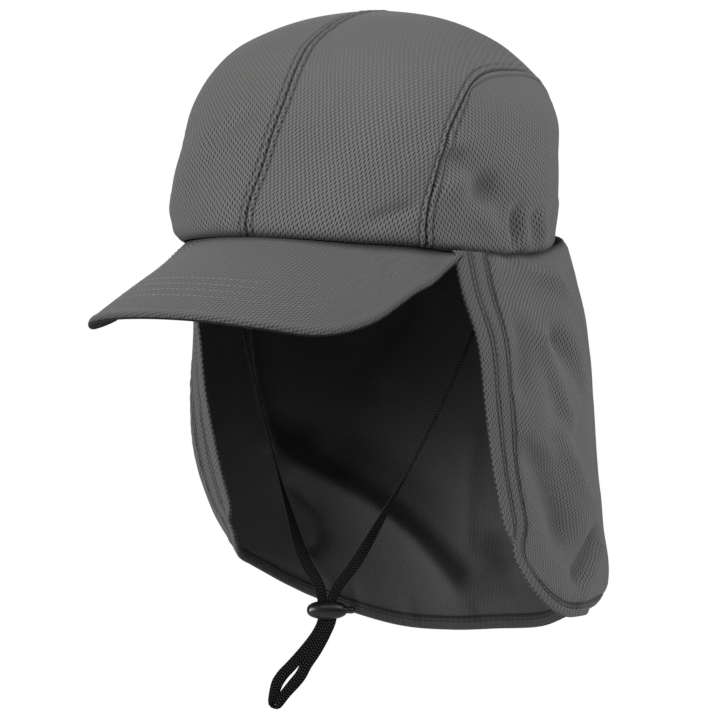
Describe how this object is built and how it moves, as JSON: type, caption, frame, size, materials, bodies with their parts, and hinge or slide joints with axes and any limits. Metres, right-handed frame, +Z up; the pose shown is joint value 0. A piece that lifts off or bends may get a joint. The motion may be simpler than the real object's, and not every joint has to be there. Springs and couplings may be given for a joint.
{
  "type": "cooling cap with neck flap",
  "caption": "Soft grey knit cap with a stitched peak, a neck flap round the sides and back, and a flat chin cord through a cord lock.",
  "frame": {"origin": "centre of the head opening, at the level of the rim", "axes": "+Z up through the top of the crown, -Y towards the front of the peak, +X towards the wearer's left"},
  "size_m": [0.202, 0.3, 0.3283],
  "materials": {
    "crown_knit": "matt knit",
    "side_knit": "matt knit",
    "peak_knit": "matt knit",
    "flap_knit": "matt knit",
    "binding_knit": "matt knit",
    "cord_braid": "matt flat braid",
    "lock_plastic": "satin moulded plastic"
  },
  "bodies": {
    "cap": {"top_panel_left": "crown_knit", "top_panel_right": "crown_knit", "side_panel_left": "side_knit", "side_panel_right": "side_knit", "peak": "peak_knit", "neck_flap": "flap_knit", "flap_binding": "binding_knit", "edge_strip_left": "binding_knit", "edge_strip_right": "binding_knit", "chin_cord": "cord_braid", "cord_lock": "lock_plastic"},
    "button": {"lock_button": "lock_plastic"}
  },
  "joints": [
    {"name": "button_press", "type": "slide", "parent": "cap", "child": "button", "axis": [-0.8192, -0.5736, 0], "range_m": [0, 0.0018], "stiffness_N_per_m": 400}
  ]
}
